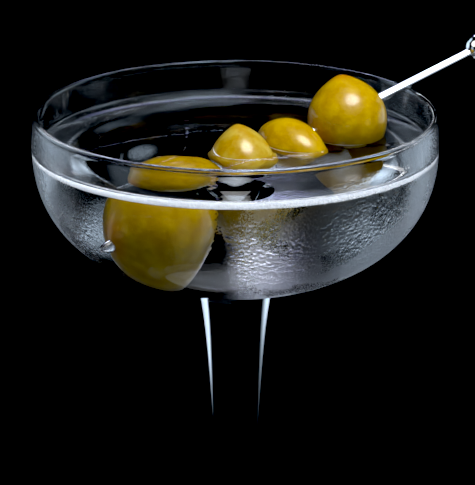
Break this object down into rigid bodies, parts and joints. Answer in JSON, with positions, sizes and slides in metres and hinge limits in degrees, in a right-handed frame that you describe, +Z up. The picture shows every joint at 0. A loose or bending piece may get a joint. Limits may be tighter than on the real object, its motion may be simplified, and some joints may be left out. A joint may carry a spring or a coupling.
{
  "type": "cocktail glass",
  "caption": "Stemmed coupe glass with a rounded bowl and flat foot, holding a clear drink and olives threaded on a ball-ended steel pick.",
  "frame": {"origin": "centre of the foot's flat underside, on the glass's own axis", "axes": "+Z up along the axis of the glass; the pick's ball end points 28 degrees from +X towards +Y"},
  "size_m": [0.1161, 0.1008, 0.152],
  "materials": {
    "clear_glass": "polished",
    "clear_drink": "polished",
    "polished_steel": "polished",
    "olive_skin": "gloss"
  },
  "bodies": {
    "glass": {"bowl": "clear_glass", "stem": "clear_glass", "foot": "clear_glass"},
    "drink": {"drink": "clear_drink"},
    "pick": {"pick_shaft": "polished_steel", "pick_ball": "polished_steel"},
    "olive_1": {"olive_1": "olive_skin"},
    "olive_2": {"olive_2": "olive_skin"},
    "olive_3": {"olive_3": "olive_skin"},
    "olive_4": {"olive_4": "olive_skin"}
  },
  "joints": [
    {"name": "drink_swirl", "type": "hinge", "parent": "glass", "child": "drink", "pos_m": [0, 0, 0.115], "axis": [0, 0, 1], "continuous": true},
    {"name": "pick_lift", "type": "slide", "parent": "drink", "child": "pick", "axis": [0, 0, 1], "range_m": [0, 0.06], "deforming": ["drink"]},
    {"name": "olive_1_turn", "type": "hinge", "parent": "pick", "child": "olive_1", "pos_m": [0.02773, 0.01314, 0.13553], "axis": [0.8393, 0.4462, 0.3107], "continuous": true, "deforming": ["drink"]},
    {"name": "olive_2_turn", "type": "hinge", "parent": "pick", "child": "olive_2", "pos_m": [0.01371, 0.00569, 0.13035], "axis": [0.8393, 0.4462, 0.3107], "continuous": true, "deforming": ["drink"]},
    {"name": "olive_3_turn", "type": "hinge", "parent": "pick", "child": "olive_3", "pos_m": [0.00176, -0.00067, 0.12592], "axis": [0.8393, 0.4462, 0.3107], "continuous": true, "deforming": ["drink"]},
    {"name": "olive_4_turn", "type": "hinge", "parent": "pick", "child": "olive_4", "pos_m": [-0.01528, -0.00973, 0.11961], "axis": [0.8393, 0.4462, 0.3107], "continuous": true, "deforming": ["drink"]}
  ]
}
